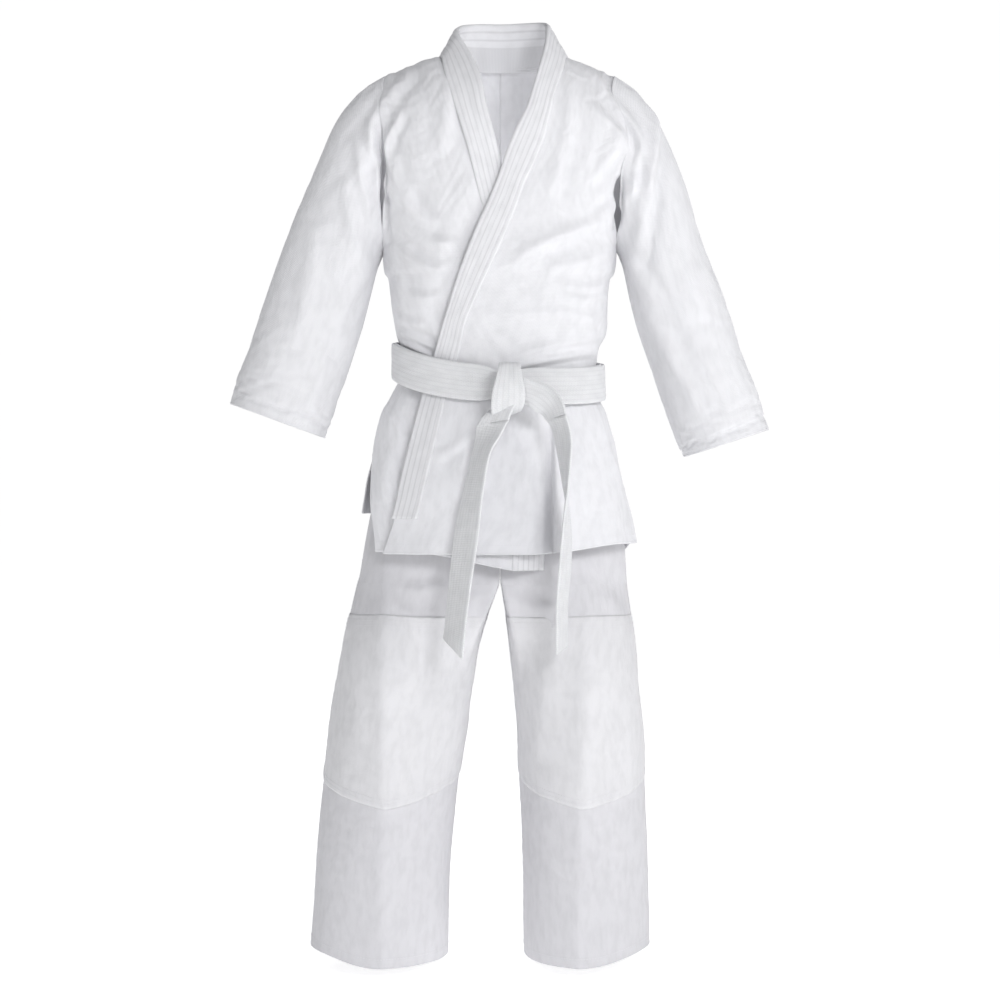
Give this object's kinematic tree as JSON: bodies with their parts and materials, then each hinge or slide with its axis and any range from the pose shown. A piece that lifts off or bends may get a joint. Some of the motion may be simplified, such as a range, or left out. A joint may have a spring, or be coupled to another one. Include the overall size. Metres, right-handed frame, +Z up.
{
  "type": "martial arts uniform",
  "caption": "White wrap-over martial arts uniform with quilted lapels, knotted cloth belt and wide trousers with knee patches.",
  "frame": {"origin": "centre of the trouser waistband, where the wearer's waist holds the outfit up", "axes": "+Z up the wearer's body, front of the uniform towards -Y, wearer's left towards +X"},
  "size_m": [0.6063, 0.2553, 1.0378],
  "materials": {
    "jacket_cloth": "matt rice-grain cotton weave",
    "jacket_drill": "matt cotton drill",
    "lapel_cloth": "matt cotton, stitched in lengthwise rows",
    "trouser_drill": "matt cotton drill",
    "knee_patch_drill": "matt cotton drill, doubled",
    "belt_webbing": "matt ribbed cotton, stitched in rows",
    "elastic": "ribbed elastic tape",
    "collar_core": "stiff cotton interlining"
  },
  "bodies": {
    "trousers": {"waistband": "trouser_drill", "waist_elastic": "elastic", "drawcord_loop": "trouser_drill", "left_hip": "trouser_drill", "right_hip": "trouser_drill", "crotch_gusset": "trouser_drill"},
    "left_leg": {"left_leg_front": "trouser_drill", "left_leg_back": "trouser_drill", "left_leg_hem": "trouser_drill", "left_knee_patch": "knee_patch_drill"},
    "right_leg": {"right_leg_front": "trouser_drill", "right_leg_back": "trouser_drill", "right_leg_hem": "trouser_drill", "right_knee_patch": "knee_patch_drill"},
    "jacket": {"jacket_front_left": "jacket_cloth", "jacket_front_right": "jacket_cloth", "jacket_back_left": "jacket_cloth", "jacket_back_right": "jacket_cloth", "waist_front_left": "jacket_drill", "waist_front_right": "jacket_drill", "waist_back": "jacket_drill", "collar_band": "lapel_cloth", "collar_core": "collar_core", "shoulder_lining_left": "jacket_drill", "shoulder_lining_right": "jacket_drill", "belt_inner_turn": "belt_webbing", "belt_outer_turn": "belt_webbing", "belt_knot_wrap": "belt_webbing", "belt_knot_core": "belt_webbing"},
    "left_sleeve": {"left_sleeve": "jacket_cloth", "left_cuff_facing": "jacket_cloth"},
    "right_sleeve": {"right_sleeve": "jacket_cloth", "right_cuff_facing": "jacket_cloth"},
    "front_skirt": {"skirt_front_left": "jacket_drill", "skirt_front_right": "jacket_drill", "skirt_lapel_left": "lapel_cloth", "skirt_lapel_right": "lapel_cloth"},
    "back_skirt": {"skirt_back": "jacket_drill"},
    "belt_tail_left": {"belt_tail_left": "belt_webbing"},
    "belt_tail_right": {"belt_tail_right": "belt_webbing"}
  },
  "joints": [
    {"name": "jacket_lift", "type": "slide", "parent": "trousers", "child": "jacket", "axis": [0, 0, 1], "range_m": [0, 0.42]},
    {"name": "left_sleeve_raise", "type": "hinge", "parent": "jacket", "child": "left_sleeve", "pos_m": [0.1303, 0, 0.329], "axis": [0, -1, 0], "range_deg": [0, 65]},
    {"name": "right_sleeve_raise", "type": "hinge", "parent": "jacket", "child": "right_sleeve", "pos_m": [-0.1303, 0, 0.329], "axis": [0, 1, 0], "range_deg": [0, 65]},
    {"name": "left_leg_spread", "type": "hinge", "parent": "trousers", "child": "left_leg", "pos_m": [0.142, 0, -0.2376], "axis": [0, -1, 0], "range_deg": [0, 40], "stiffness_Nm_per_rad": 0.5, "springref_deg": -34.38},
    {"name": "right_leg_spread", "type": "hinge", "parent": "trousers", "child": "right_leg", "pos_m": [-0.16, 0, -0.2376], "axis": [0, 1, 0], "range_deg": [0, 40], "stiffness_Nm_per_rad": 0.5, "springref_deg": -34.38},
    {"name": "front_skirt_swing", "type": "hinge", "parent": "jacket", "child": "front_skirt", "pos_m": [0.008, -0.116, -0.058], "axis": [-1, 0, 0], "range_deg": [0, 20], "stiffness_Nm_per_rad": 0.3, "springref_deg": -28.65},
    {"name": "back_skirt_swing", "type": "hinge", "parent": "jacket", "child": "back_skirt", "pos_m": [0, 0.088, -0.0485], "axis": [1, 0, 0], "range_deg": [0, 25], "stiffness_Nm_per_rad": 0.3, "springref_deg": -28.65},
    {"name": "left_tail_swing", "type": "hinge", "parent": "front_skirt", "child": "belt_tail_left", "pos_m": [0.008, -0.116, -0.058], "axis": [-1, 0, 0], "range_deg": [0, 60]},
    {"name": "right_tail_swing", "type": "hinge", "parent": "front_skirt", "child": "belt_tail_right", "pos_m": [0.008, -0.116, -0.058], "axis": [-1, 0, 0], "range_deg": [0, 60]}
  ]
}
